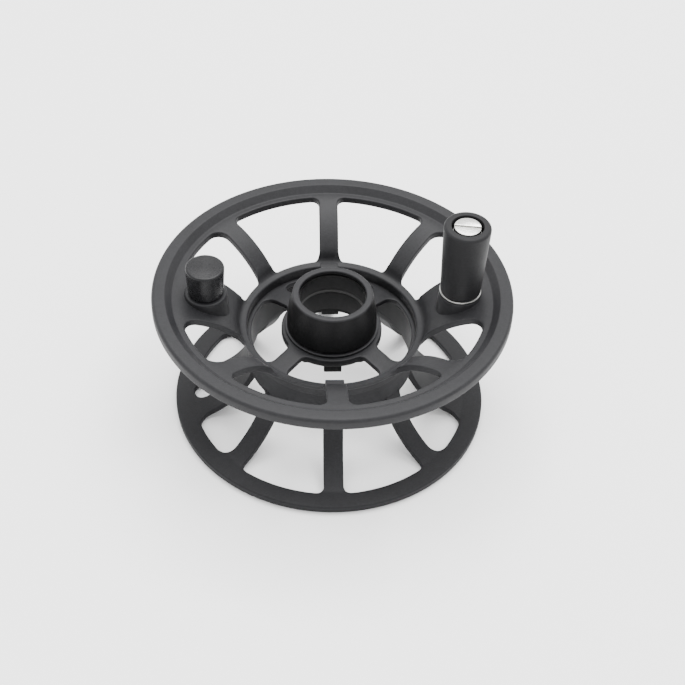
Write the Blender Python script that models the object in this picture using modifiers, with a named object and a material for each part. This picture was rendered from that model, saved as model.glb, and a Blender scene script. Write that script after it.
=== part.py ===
"""A large-arbor fishing reel spool, lying on its smaller flange with its handle upwards.

Units below are millimetres, turned into metres as each shape is made. +Z is the spool's axis and
z = 0 is the face that it rests on. Azimuths are in degrees, clockwise from +Y seen from above, so
that the handle stands at 90 and the counterweight at 270.
"""

import math

import bmesh
import bpy

MM = 0.001
GAP = 0.3                       # space left between pieces that touch

# Front flange: a rolled rim, a shallow dish and a flat inner band on the arbor's end
RIM_RADIUS = 42.5
RIM_TOP = 36.0
RIM_BOTTOM = 33.25
RIM_ROUND = 0.9
RIM_FOOT_ROUND = 0.3
RIM_BAND_INNER = 39.2
PLATE_OUTER = 37.8
PLATE_TOP = 34.45
DISH_TOP = (39.3, 12.9, 21.8)   # each section arc: its centre's radius and height, its own radius
DISH_UNDER = (39.3, 12.05, 20.86)
FRONT_BAND_TOP = 25.0
FRONT_BAND_BOTTOM = 23.3
FRONT_BAND_OUTER = 22.2
BAND_INNER = 20.3
SLEEVE_OUTER_RADIUS = 20.9      # a short sleeve under the band, round the spider's rim
SLEEVE_BOTTOM = 21.0

# Windows and spokes of both flanges
SPOKE_COUNT = 8
SPOKE_HALF_WIDTH = 2.35
BROAD_HALF_WIDTH = 3.45         # the handle's and the counterweight's webs, carried in to the axis
BROAD_TAPER = 8.8               # degrees that each side of a broad web opens outwards
FRONT_WINDOW = (22.1, 36.3)    # inner and outer radius
BACK_WINDOW = (18.2, 33.8)      # reaches in under the arbor
INNER_FILLET = 1.0
OUTER_FILLET = 1.8
BROAD_OUTER_FILLET = 3.0        # both outer corners of a window beside a broad web
KEY_AZIMUTHS = (0.0, 180.0)
KEY_WIDTH = 4.4
KEY_INNER = 19.45
KEY_RISE = 0.15

# Back flange: the same dish upside down, with a flat outer ring
BACK_RADIUS = 38.4
BACK_THICKNESS = 1.9
BACK_FLAT_INNER = 33.1
BACK_UNDER = (40.1, 20.9, -22.0)
BACK_OVER = (40.1, 20.9, -20.6)
SPOKE_FOOT = 11.2               # the spokes' lowest point at the arbor's inner side
SPOKE_ROOT = 20.45
BACK_WINDOW_TOP = 13.6          # the windows stop here, below the ring that the arbor stands on
BACK_BAND_TOP = 14.6
DRIVER_HOLE_RADIUS = 2.8        # lets a screwdriver reach the screws of the handle and the weight
DRIVER_HOLE_REACH = 31.0

# Arbor: the drum that the line is wound on
ARBOR_INNER = 19.4
ARBOR_OUTER = 20.2
TIE_HOLE_RADIUS = 0.6
TIE_HOLE_AZIMUTH = 62.0
TIE_HOLE_HEIGHT = 16.0

# Spider: four arms that hold the hub inside the arbor
SPIDER_RADIUS = 20.0
SPIDER_RIM_TOP = 22.4
SPIDER_HUB_TOP = 23.7
SPIDER_THICKNESS = 1.4
SPIDER_HUB_THICKNESS = 2.0
SPIDER_HOLE = 10.3
SPIDER_WINDOW_INNER = 12.1
SPIDER_WINDOW_OUTER = 19.35
SPIDER_ARM_HALF_WIDTH = 2.4
SPIDER_FILLET = 2.0

# Hub: a turned tube with drive lugs at its lower end
HUB_TOP = 34.3
HUB_TOP_RADIUS = 9.5
HUB_FOOT_RADIUS = 10.75
HUB_FOOT = 24.75
HUB_NECK_RADIUS = 10.0
HUB_BOTTOM = 20.2
HUB_LIP_RADIUS = 7.95
HUB_LIP_BOTTOM = 33.3
HUB_BORE_RADIUS = 9.0
LUG_COUNT = 4
LUG_WIDTH = 4.2
LUG_OUTER = 10.9
LUG_TOP = 21.2
LUG_BOTTOM = 18.9
SLEEVE_INNER = 8.0
SLEEVE_OUTER = 8.7
LOWER_BUSH_SPAN = (22.0, 26.9)
O_RING_HEIGHT = 27.8
O_RING_WIRE = 0.45
UPPER_BUSH_SPAN = (28.7, 32.0)
CLIP_SPAN = (32.3, 33.0)
CLIP_INNER = 7.75
CLIP_GAP = 5.0

# Handle and counterweight, each on a boss of a broad web
HANDLE_RADIUS = 30.1
WEIGHT_RADIUS = 29.8
BOSS_RADIUS = 5.0
BOSS_TOP = 34.9
BOSS_CLEARANCE = 0.4            # height of a boss's trimmed foot above the dish's underside
SEAT_TOP = 33.4
SEAT_RADIUS = 2.9
SCREW_HOLE_RADIUS = 1.6
THREAD_HOLE_RADIUS = 1.5
SCREW_SHANK_RADIUS = 1.2
FLANGE_SCREW_HEAD_RADIUS = 2.6
FLANGE_SCREW_HEAD = (31.9, 33.1)
FLANGE_SCREW_END = 40.0
POST_RADIUS = 2.2
POST_SPAN = (35.15, 52.95)
WASHER_SPAN = (35.15, 35.5)
WASHER_OUTER = 4.95
RUNNING_BORE = 2.45
KNOB_SPAN = (35.75, 54.8)
KNOB_FOOT_RADIUS = 4.8
KNOB_TOP_RADIUS = 5.55
KNOB_ROUND = 0.8
KNOB_SOCKET_RADIUS = 3.75
KNOB_WAIST_RADIUS = 3.0
KNOB_BUSH_RADIUS = 3.45
LOWER_KNOB_BUSH_SPAN = (36.0, 41.0)
UPPER_KNOB_BUSH_SPAN = (47.9, 52.45)
WAVE_WASHER_SPAN = (52.65, 52.95)
WAVE_WASHER_OUTER = 3.3
KNOB_SCREW_HEAD = (53.25, 54.65)
KNOB_SCREW_HEAD_RADIUS = 3.15
KNOB_SCREW_END = 44.9
SLOT_WIDTH = 0.5
SLOT_DEPTH = 0.8
SLOT_AZIMUTH = 98.0
WEIGHT_SPAN = (35.2, 42.6)
WEIGHT_FOOT_RADIUS = 4.2
WEIGHT_TOP_RADIUS = 4.57
WEIGHT_ROUND = 0.5
WEIGHT_HOLE_END = 40.8

FLANGE_STEPS = 56
DRUM_STEPS = 48
HUB_STEPS = 36
KNOB_STEPS = 32
SMALL_STEPS = 20
ARC_STEPS = 5


def clear_scene():
    for thing in list(bpy.data.objects):
        bpy.data.objects.remove(thing, do_unlink=True)


def new_collection(name):
    collection = bpy.data.collections.new(name)
    bpy.context.scene.collection.children.link(collection)
    return collection


def new_material(name, colour, roughness, metallic):
    material = bpy.data.materials.new(name)
    material.use_nodes = True
    shader = material.node_tree.nodes["Principled BSDF"]
    shader.inputs["Base Color"].default_value = (*colour, 1.0)
    shader.inputs["Roughness"].default_value = roughness
    shader.inputs["Metallic"].default_value = metallic
    return material


def finish_piece(piece, material):
    piece.data.materials.append(material)
    return piece


# ---- outlines and sections ----

def place(azimuth, along, across=0.0):
    """Plan position at a distance along an azimuth and a distance clockwise across it."""
    angle = math.radians(azimuth)
    x = along * math.sin(angle) + across * math.cos(angle)
    y = along * math.cos(angle) - across * math.sin(angle)
    return x, y


def arc(centre, radius, start, end, steps):
    """Points on an arc between two angles in degrees, anticlockwise from the first axis."""
    points = []
    for i in range(steps + 1):
        angle = math.radians(start + (end - start) * i / steps)
        points.append((centre[0] + radius * math.cos(angle), centre[1] + radius * math.sin(angle)))
    return points


def arc_between(centre, start, end, steps):
    """Points along the shorter arc about a centre, from one point to another."""
    radius = math.dist(centre, start)
    first = math.degrees(math.atan2(start[1] - centre[1], start[0] - centre[0]))
    last = math.degrees(math.atan2(end[1] - centre[1], end[0] - centre[0]))
    turn = (last - first + 180.0) % 360.0 - 180.0
    return arc(centre, radius, first, first + turn, steps)


def corner(azimuth, side, half_width, circle, fillet, outward):
    """A window's rounded corner, from the bar's straight edge to the bounding circle."""
    reach = circle - fillet if outward else circle + fillet
    across = half_width + fillet
    along = math.sqrt(reach * reach - across * across)
    centre = place(azimuth, along, side * across)
    on_bar = place(azimuth, along, side * half_width)
    scale = circle / reach
    on_circle = (centre[0] * scale, centre[1] * scale)
    return arc_between(centre, on_bar, on_circle, 4)


def window_outline(bars, inner, outer):
    """Outline of the opening between two bars, each (azimuth, half width, inner and outer fillet)."""
    (first, first_half, *first_fillets), (last, last_half, *last_fillets) = bars
    first_inner = corner(first, 1, first_half, inner, first_fillets[0], False)
    first_outer = corner(first, 1, first_half, outer, first_fillets[1], True)
    last_inner = corner(last, -1, last_half, inner, last_fillets[0], False)
    last_outer = corner(last, -1, last_half, outer, last_fillets[1], True)
    rim = arc_between((0.0, 0.0), first_outer[-1], last_outer[-1], ARC_STEPS)
    drum = arc_between((0.0, 0.0), last_inner[-1], first_inner[-1], ARC_STEPS)
    outline = first_outer + rim[1:-1] + last_outer[::-1]
    outline += last_inner + drum[1:-1] + first_inner[::-1]
    return outline


def section_arc(circle, start, end, steps):
    """Points of a dish's section between two radii, spaced evenly in slope. The arc is the upper
    side of its circle, or the lower side if the circle's radius is negative."""
    centre, height, curve = circle
    first = math.asin((centre - start) / curve)
    last = math.asin((centre - end) / curve)
    points = []
    for i in range(steps + 1):
        slope = first + (last - first) * i / steps
        points.append((centre - curve * math.sin(slope), height + curve * math.cos(slope)))
    return points


# ---- solids ----

def turned(name, profile, steps, collection, centre=(0.0, 0.0)):
    """A body of revolution. Its profile runs down the outer side, and closes unless it starts on
    the axis."""
    points = [(radius * MM, 0.0, height * MM) for radius, height in profile]
    edges = [(i, i + 1) for i in range(len(points) - 1)]
    if profile[0][0] > 0.0:
        edges.append((len(points) - 1, 0))
    mesh = bpy.data.meshes.new(name)
    mesh.from_pydata(points, edges, [])
    piece = bpy.data.objects.new(name, mesh)
    piece.location = (centre[0] * MM, centre[1] * MM, 0.0)
    collection.objects.link(piece)
    screw = piece.modifiers.new("turn", "SCREW")
    screw.angle = math.tau
    screw.steps = steps
    screw.render_steps = steps
    screw.use_merge_vertices = True
    screw.merge_threshold = 0.000001
    screw.use_smooth_shade = True
    return piece


def tube_profile(inner, outer, bottom, top):
    return [(outer, top), (outer, bottom), (inner, bottom), (inner, top)]


def rod_profile(radius, bottom, top):
    return [(0.0, top), (radius, top), (radius, bottom), (0.0, bottom)]


def slab(name, outline, bottom, top, collection):
    """A flat outline given thickness, as a mesh that a Boolean can use."""
    curve = bpy.data.curves.new(name, "CURVE")
    curve.dimensions = "2D"
    curve.fill_mode = "BOTH"
    curve.extrude = (top - bottom) / 2.0 * MM
    spline = curve.splines.new("POLY")
    spline.points.add(len(outline) - 1)
    for point, (x, y) in zip(spline.points, outline):
        point.co = (x * MM, y * MM, 0.0, 1.0)
    spline.use_cyclic_u = True
    source = bpy.data.objects.new(name + "_outline", curve)
    collection.objects.link(source)
    evaluated = source.evaluated_get(bpy.context.evaluated_depsgraph_get())
    mesh = bpy.data.meshes.new_from_object(evaluated)
    shape = bmesh.new()
    shape.from_mesh(mesh)
    bmesh.ops.remove_doubles(shape, verts=shape.verts, dist=0.0000001)
    bmesh.ops.translate(shape, verts=shape.verts, vec=(0.0, 0.0, (top + bottom) / 2.0 * MM))
    shape.to_mesh(mesh)
    shape.free()
    bpy.data.objects.remove(source, do_unlink=True)
    piece = bpy.data.objects.new(name, mesh)
    collection.objects.link(piece)
    return piece


def block(name, azimuth, reach, width, heights, collection, centre=(0.0, 0.0)):
    """A box that lies along an azimuth, from one distance to another."""
    length = reach[1] - reach[0]
    middle = place(azimuth, (reach[0] + reach[1]) / 2.0)
    shape = bmesh.new()
    bmesh.ops.create_cube(shape, size=1.0)
    size = (width * MM, length * MM, (heights[1] - heights[0]) * MM)
    bmesh.ops.scale(shape, verts=shape.verts, vec=size)
    mesh = bpy.data.meshes.new(name)
    shape.to_mesh(mesh)
    shape.free()
    piece = bpy.data.objects.new(name, mesh)
    height = (heights[0] + heights[1]) / 2.0
    piece.location = ((centre[0] + middle[0]) * MM, (centre[1] + middle[1]) * MM, height * MM)
    piece.rotation_euler = (0.0, 0.0, -math.radians(azimuth))
    collection.objects.link(piece)
    return piece


def combine(piece, others, operation):
    """Cut a piece with others in one step, or join them onto it."""
    group = bpy.data.collections.new(f"{piece.name}_{operation.lower()}")
    bpy.data.collections["cutters"].children.link(group)
    for other in others:
        other.hide_render = True
        other.display_type = "WIRE"
        bpy.data.collections["cutters"].objects.unlink(other)
        group.objects.link(other)
    modifier = piece.modifiers.new(group.name, "BOOLEAN")
    modifier.operand_type = "COLLECTION"
    modifier.collection = group
    modifier.operation = operation
    modifier.solver = "EXACT"


# ---- the spool's body ----

def front_section():
    """Section of the front flange, down the rim's outer side and back over the top."""
    rim_centre = (RIM_RADIUS - RIM_ROUND, RIM_TOP - RIM_ROUND)
    section = arc(rim_centre, RIM_ROUND, 90.0, 0.0, 3)
    foot_centre = (RIM_RADIUS - RIM_FOOT_ROUND, RIM_BOTTOM + RIM_FOOT_ROUND)
    section += arc(foot_centre, RIM_FOOT_ROUND, 0.0, -90.0, 2)
    section.append((PLATE_OUTER + 0.8, RIM_BOTTOM - 0.1))
    section += section_arc(DISH_UNDER, FRONT_WINDOW[1] + 0.9, FRONT_BAND_OUTER + 0.3, 5)
    section.append((SLEEVE_OUTER_RADIUS, FRONT_BAND_BOTTOM))
    section.append((SLEEVE_OUTER_RADIUS, SLEEVE_BOTTOM))
    section.append((BAND_INNER, SLEEVE_BOTTOM))
    section.append((BAND_INNER, FRONT_BAND_TOP - 0.25))
    section.append((BAND_INNER + 0.25, FRONT_BAND_TOP))
    section.append((FRONT_BAND_OUTER, FRONT_BAND_TOP))
    section += section_arc(DISH_TOP, FRONT_BAND_OUTER, FRONT_WINDOW[1], 6)
    section.append((PLATE_OUTER, PLATE_TOP))
    section.append((RIM_BAND_INNER, RIM_TOP - 0.15))
    section.append((RIM_BAND_INNER + 0.15, RIM_TOP))
    return section


def window_bars(index):
    """The bars on both sides of one window. A broad web stands at 90 and at 270."""
    pitch = 360.0 / SPOKE_COUNT
    azimuths = (index * pitch, (index + 1) * pitch)
    beside_broad = any(azimuth % 180.0 == 90.0 for azimuth in azimuths)
    outer_fillet = BROAD_OUTER_FILLET if beside_broad else OUTER_FILLET
    bars = []
    for azimuth, taper in zip(azimuths, (BROAD_TAPER, -BROAD_TAPER)):
        if azimuth % 180.0 == 90.0:
            bars.append((azimuth + taper, BROAD_HALF_WIDTH, INNER_FILLET, outer_fillet))
        else:
            bars.append((azimuth, SPOKE_HALF_WIDTH, INNER_FILLET, outer_fillet))
    return bars


def make_windows(name, radii, heights, cutters):
    """Cutters for the openings between a flange's spokes."""
    windows = []
    for index in range(SPOKE_COUNT):
        outline = window_outline(window_bars(index), *radii)
        windows.append(slab(f"{name}_{index + 1}", outline, *heights, cutters))
    return windows


def make_boss(name, centre, cutters):
    """A level boss on the sloping dish, trimmed to the dish's underside."""
    boss = turned(name, rod_profile(BOSS_RADIUS, 25.0, BOSS_TOP), KNOB_STEPS, cutters, centre)
    centre_radius, centre_height, curve = DISH_UNDER
    sunk = (centre_radius, centre_height + BOSS_CLEARANCE, curve)
    surface = section_arc(sunk, PLATE_OUTER, FRONT_BAND_OUTER, 12)
    profile = [(PLATE_OUTER, 20.0), (FRONT_BAND_OUTER, 20.0)] + surface[::-1]
    space = turned(name + "_underside", profile, FLANGE_STEPS, cutters)
    combine(boss, [space], "DIFFERENCE")
    return boss


def make_boss_hole(name, centre, cutters):
    """A screw hole through a boss, and a seat for the screw's head below it."""
    section = [(0.0, BOSS_TOP + 2.0), (SCREW_HOLE_RADIUS, BOSS_TOP + 2.0), (SCREW_HOLE_RADIUS, SEAT_TOP)]
    section += [(SEAT_RADIUS, SEAT_TOP), (SEAT_RADIUS, 25.0), (0.0, 25.0)]
    return turned(name, section, SMALL_STEPS, cutters, centre)


def make_front_flange(parts, cutters):
    handle = (HANDLE_RADIUS, 0.0)
    weight = (-WEIGHT_RADIUS, 0.0)
    flange = turned("front_flange", front_section(), FLANGE_STEPS, parts)
    added = [make_boss("handle_boss", handle, cutters), make_boss("weight_boss", weight, cutters)]
    for azimuth in KEY_AZIMUTHS:
        name = f"spoke_key_{azimuth:.0f}"
        reach = (KEY_INNER, FRONT_BAND_OUTER + 1.0)
        heights = (FRONT_BAND_TOP - 1.0, FRONT_BAND_TOP + KEY_RISE)
        added.append(block(name, azimuth, reach, KEY_WIDTH, heights, cutters))
    combine(flange, added, "UNION")
    holes = make_windows("front_window", FRONT_WINDOW, (20.0, 38.0), cutters)
    holes.append(make_boss_hole("handle_boss_hole", handle, cutters))
    holes.append(make_boss_hole("weight_boss_hole", weight, cutters))
    combine(flange, holes, "DIFFERENCE")
    return flange


def back_section():
    """Section of the back flange, down its outer edge and back over the line side."""
    edge = 0.35
    section = [(BACK_RADIUS - edge, BACK_THICKNESS), (BACK_RADIUS, BACK_THICKNESS - edge)]
    section += [(BACK_RADIUS, edge), (BACK_RADIUS - edge, 0.0), (BACK_FLAT_INNER + 0.2, 0.0)]
    section += section_arc(BACK_UNDER, BACK_FLAT_INNER - 0.1, SPOKE_ROOT, 5)
    section.append((ARBOR_INNER, SPOKE_FOOT))
    section.append((ARBOR_INNER, BACK_BAND_TOP))
    section.append((ARBOR_OUTER, BACK_BAND_TOP))
    section += section_arc(BACK_OVER, SPOKE_ROOT, BACK_FLAT_INNER, 5)
    return section


def make_back_flange(parts, cutters):
    flange = turned("back_flange", back_section(), FLANGE_STEPS, parts)
    holes = make_windows("back_window", BACK_WINDOW, (-3.0, BACK_WINDOW_TOP), cutters)
    for reach in (DRIVER_HOLE_REACH, -DRIVER_HOLE_REACH):
        profile = rod_profile(DRIVER_HOLE_RADIUS, -2.0, 12.0)
        holes.append(turned("driver_hole", profile, SMALL_STEPS, cutters, (reach, 0.0)))
    combine(flange, holes, "DIFFERENCE")
    return flange


def make_arbor(parts, cutters):
    bottom = BACK_BAND_TOP + GAP
    top = SLEEVE_BOTTOM - GAP
    drum = turned("arbor", tube_profile(ARBOR_INNER, ARBOR_OUTER, bottom, top), DRUM_STEPS, parts)
    hole = turned("tie_hole", rod_profile(TIE_HOLE_RADIUS, ARBOR_INNER - 2.0, ARBOR_OUTER + 2.0), 16, cutters)
    hole.rotation_euler = (math.pi / 2.0, 0.0, math.pi - math.radians(TIE_HOLE_AZIMUTH))
    hole.location = (0.0, 0.0, TIE_HOLE_HEIGHT * MM)
    combine(drum, [hole], "DIFFERENCE")
    return drum


def make_spider(parts, cutters):
    rim_step = 1.0
    disc_radius = SPIDER_WINDOW_INNER + 0.5
    section = [(SPIDER_RADIUS, SPIDER_RIM_TOP), (SPIDER_RADIUS, SPIDER_RIM_TOP - SPIDER_THICKNESS)]
    section.append((SPIDER_RADIUS - rim_step, SPIDER_RIM_TOP - SPIDER_THICKNESS))
    section.append((disc_radius + 0.3, SPIDER_HUB_TOP - SPIDER_THICKNESS))
    section.append((disc_radius, SPIDER_HUB_TOP - SPIDER_HUB_THICKNESS))
    section.append((SPIDER_HOLE, SPIDER_HUB_TOP - SPIDER_HUB_THICKNESS))
    section.append((SPIDER_HOLE, SPIDER_HUB_TOP))
    section.append((disc_radius, SPIDER_HUB_TOP))
    section.append((SPIDER_RADIUS - rim_step, SPIDER_RIM_TOP))
    spider = turned("hub_spider", section, DRUM_STEPS, parts)
    windows = []
    for index in range(4):
        arm = (SPIDER_ARM_HALF_WIDTH, SPIDER_FILLET, SPIDER_FILLET)
        bars = [(index * 90.0 + turn, *arm) for turn in (-45.0, 45.0)]
        outline = window_outline(bars, SPIDER_WINDOW_INNER, SPIDER_WINDOW_OUTER)
        windows.append(slab(f"spider_window_{index + 1}", outline, 18.0, 26.0, cutters))
    combine(spider, windows, "DIFFERENCE")
    return spider


# ---- the hub and what it holds ----

def hub_side(height):
    """Radius of the hub's waisted side at a height."""
    rise = (height - HUB_FOOT) / (HUB_TOP - HUB_FOOT)
    return HUB_FOOT_RADIUS - (HUB_FOOT_RADIUS - HUB_TOP_RADIUS) * rise ** 2.2


def make_hub(parts, cutters):
    edge = 0.25
    section = [(HUB_TOP_RADIUS - edge, HUB_TOP)]
    for i in range(6):
        height = HUB_TOP - edge - (HUB_TOP - edge - HUB_FOOT) * i / 5
        section.append((hub_side(height), height))
    section.append((HUB_NECK_RADIUS, HUB_FOOT))
    section.append((HUB_NECK_RADIUS, HUB_BOTTOM))
    section.append((HUB_BORE_RADIUS, HUB_BOTTOM))
    section.append((HUB_BORE_RADIUS, HUB_LIP_BOTTOM))
    section.append((HUB_LIP_RADIUS, HUB_LIP_BOTTOM))
    section.append((HUB_LIP_RADIUS, HUB_TOP - edge))
    section.append((HUB_LIP_RADIUS + edge, HUB_TOP))
    hub = turned("hub", section, HUB_STEPS, parts)
    lugs = []
    for index in range(LUG_COUNT):
        azimuth = index * 360.0 / LUG_COUNT
        reach = (HUB_BORE_RADIUS + 0.1, LUG_OUTER)
        heights = (LUG_BOTTOM, LUG_TOP)
        lugs.append(block(f"drive_lug_{index + 1}", azimuth, reach, LUG_WIDTH, heights, cutters))
    combine(hub, lugs, "UNION")
    return hub


def make_hub_retaining_ring(parts):
    bottom = SPIDER_HUB_TOP + GAP
    profile = tube_profile(HUB_NECK_RADIUS + GAP, HUB_FOOT_RADIUS + 0.45, bottom, bottom + 0.45)
    return turned("hub_retaining_ring", profile, HUB_STEPS, parts)


def make_bush(name, inner, outer, span, parts, centre=(0.0, 0.0), steps=HUB_STEPS):
    """A plain bush with chamfered outer ends."""
    edge = 0.2
    profile = [(outer - edge, span[1]), (outer, span[1] - edge), (outer, span[0] + edge)]
    profile += [(outer - edge, span[0]), (inner, span[0]), (inner, span[1])]
    return turned(name, profile, steps, parts, centre)


def make_o_ring(parts):
    wire = arc((SLEEVE_OUTER - O_RING_WIRE, O_RING_HEIGHT), O_RING_WIRE, 90.0, -210.0, 5)
    return turned("hub_o_ring", wire, HUB_STEPS, parts)


def make_spring_clip(parts, cutters):
    clip = turned("hub_spring_clip", tube_profile(CLIP_INNER, SLEEVE_OUTER, *CLIP_SPAN), HUB_STEPS, parts)
    gap = block("clip_gap", 215.0, (5.0, 12.0), CLIP_GAP, (31.0, 34.0), cutters)
    combine(clip, [gap], "DIFFERENCE")
    return clip


# ---- the handle and the counterweight ----

def make_flange_screw(name, centre, parts):
    """A pan-head screw, let into the underside of a boss."""
    low, high = FLANGE_SCREW_HEAD
    profile = [(0.0, FLANGE_SCREW_END), (SCREW_SHANK_RADIUS, FLANGE_SCREW_END)]
    profile += [(SCREW_SHANK_RADIUS, high), (FLANGE_SCREW_HEAD_RADIUS, high)]
    profile += [(FLANGE_SCREW_HEAD_RADIUS, low + 0.3), (FLANGE_SCREW_HEAD_RADIUS - 0.4, low), (0.0, low)]
    return turned(name, profile, SMALL_STEPS, parts, centre)


def make_handle_post(centre, parts):
    """The fixed post, drilled and tapped from both ends."""
    low, high = POST_SPAN
    web_low = FLANGE_SCREW_END + 1.0
    web_high = KNOB_SCREW_END - 1.0
    profile = [(0.0, web_high), (THREAD_HOLE_RADIUS, web_high), (THREAD_HOLE_RADIUS, high)]
    profile += [(POST_RADIUS, high), (POST_RADIUS, low), (THREAD_HOLE_RADIUS, low)]
    profile += [(THREAD_HOLE_RADIUS, web_low), (0.0, web_low)]
    return turned("handle_post", profile, SMALL_STEPS, parts, centre)


def make_knob(centre, parts):
    """The tapered knob, with a socket for a bush at each end."""
    low, high = KNOB_SPAN
    lower_socket = LOWER_KNOB_BUSH_SPAN[1] + GAP
    upper_socket = UPPER_KNOB_BUSH_SPAN[0] - GAP
    profile = arc((KNOB_TOP_RADIUS - KNOB_ROUND, high - KNOB_ROUND), KNOB_ROUND, 90.0, 0.0, 4)
    profile += [(KNOB_FOOT_RADIUS, low + 0.2), (KNOB_FOOT_RADIUS - 0.2, low)]
    profile += [(KNOB_SOCKET_RADIUS, low), (KNOB_SOCKET_RADIUS, lower_socket)]
    profile += [(KNOB_WAIST_RADIUS, lower_socket), (KNOB_WAIST_RADIUS, upper_socket)]
    profile += [(KNOB_SOCKET_RADIUS, upper_socket), (KNOB_SOCKET_RADIUS, high)]
    return turned("knob", profile, KNOB_STEPS, parts, centre)


def make_knob_screw(centre, parts, cutters):
    low, high = KNOB_SCREW_HEAD
    edge = 0.25
    profile = [(0.0, high), (KNOB_SCREW_HEAD_RADIUS - edge, high), (KNOB_SCREW_HEAD_RADIUS, high - edge)]
    profile += [(KNOB_SCREW_HEAD_RADIUS, low), (SCREW_SHANK_RADIUS, low)]
    profile += [(SCREW_SHANK_RADIUS, KNOB_SCREW_END), (0.0, KNOB_SCREW_END)]
    screw = turned("knob_screw", profile, SMALL_STEPS, parts, centre)
    slot = block("screw_slot", SLOT_AZIMUTH, (-5.0, 5.0), SLOT_WIDTH, (high - SLOT_DEPTH, high + 1.0),
                 cutters, centre)
    combine(screw, [slot], "DIFFERENCE")
    return screw


def make_counterweight(centre, parts):
    low, high = WEIGHT_SPAN
    profile = [(0.0, high)]
    profile += arc((WEIGHT_TOP_RADIUS - WEIGHT_ROUND, high - WEIGHT_ROUND), WEIGHT_ROUND, 90.0, 0.0, 3)
    profile += [(WEIGHT_FOOT_RADIUS, low + 0.2), (WEIGHT_FOOT_RADIUS - 0.2, low)]
    profile += [(THREAD_HOLE_RADIUS, low), (THREAD_HOLE_RADIUS, WEIGHT_HOLE_END), (0.0, WEIGHT_HOLE_END)]
    return turned("counterweight", profile, KNOB_STEPS, parts, centre)


def main():
    clear_scene()
    parts = new_collection("fishing_reel_spool")
    cutters = new_collection("cutters")
    handle = (HANDLE_RADIUS, 0.0)
    weight = (-WEIGHT_RADIUS, 0.0)

    body = (0.035, 0.035, 0.037)
    finish_piece(make_front_flange(parts, cutters), new_material("front_flange", body, 0.45, 0.0))
    finish_piece(make_arbor(parts, cutters), new_material("arbor", body, 0.5, 0.0))
    finish_piece(make_back_flange(parts, cutters), new_material("back_flange", body, 0.45, 0.0))
    finish_piece(make_spider(parts, cutters), new_material("hub_spider", body, 0.45, 0.0))
    finish_piece(make_hub(parts, cutters), new_material("hub", (0.02, 0.02, 0.022), 0.35, 0.0))
    finish_piece(make_hub_retaining_ring(parts), new_material("hub_ring", (0.06, 0.06, 0.06), 0.35, 0.5))

    sleeve = (SLEEVE_INNER, SLEEVE_OUTER)
    lower = make_bush("hub_lower_bush", *sleeve, LOWER_BUSH_SPAN, parts)
    upper = make_bush("hub_upper_bush", *sleeve, UPPER_BUSH_SPAN, parts)
    finish_piece(lower, new_material("hub_lower_bush", (0.015, 0.015, 0.016), 0.5, 0.0))
    finish_piece(upper, new_material("hub_upper_bush", (0.015, 0.015, 0.016), 0.5, 0.0))
    finish_piece(make_o_ring(parts), new_material("hub_o_ring", (0.01, 0.01, 0.01), 0.6, 0.0))
    finish_piece(make_spring_clip(parts, cutters), new_material("spring_clip", (0.1, 0.1, 0.1), 0.35, 0.8))

    steel = (0.6, 0.6, 0.58)
    plastic = (0.02, 0.02, 0.022)
    screw_names = (("handle_post_screw", handle), ("counterweight_screw", weight))
    for name, centre in screw_names:
        finish_piece(make_flange_screw(name, centre, parts), new_material(name, steel, 0.3, 1.0))
    finish_piece(make_handle_post(handle, parts), new_material("handle_post", steel, 0.3, 1.0))
    washer = turned("handle_base_washer", tube_profile(RUNNING_BORE, WASHER_OUTER, *WASHER_SPAN),
                    KNOB_STEPS, parts, handle)
    finish_piece(washer, new_material("base_washer", steel, 0.25, 1.0))
    finish_piece(make_knob(handle, parts), new_material("knob", (0.03, 0.03, 0.032), 0.35, 0.0))
    for name, span in (("knob_lower_bush", LOWER_KNOB_BUSH_SPAN), ("knob_upper_bush", UPPER_KNOB_BUSH_SPAN)):
        bush = make_bush(name, RUNNING_BORE, KNOB_BUSH_RADIUS, span, parts, handle, SMALL_STEPS)
        finish_piece(bush, new_material(name, plastic, 0.45, 0.0))
    wave = turned("knob_wave_washer", tube_profile(RUNNING_BORE, WAVE_WASHER_OUTER, *WAVE_WASHER_SPAN),
                  SMALL_STEPS, parts, handle)
    finish_piece(wave, new_material("wave_washer", steel, 0.3, 1.0))
    finish_piece(make_knob_screw(handle, parts, cutters), new_material("knob_screw", steel, 0.15, 1.0))
    finish_piece(make_counterweight(weight, parts), new_material("counterweight", plastic, 0.3, 0.0))


main()
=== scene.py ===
"""The looks of the fishing reel spool: fine meshes over its CAD frame, their finishes, and a studio.

Lengths are in millimetres, turned into metres as each mesh is made. Azimuths are in degrees,
clockwise from +Y seen from above. The handle stands at 90 and the counterweight at 270.
"""

import math

import bmesh
import bpy
import numpy as np
from mathutils import Matrix, Vector
from mathutils.geometry import delaunay_2d_cdt


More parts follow.
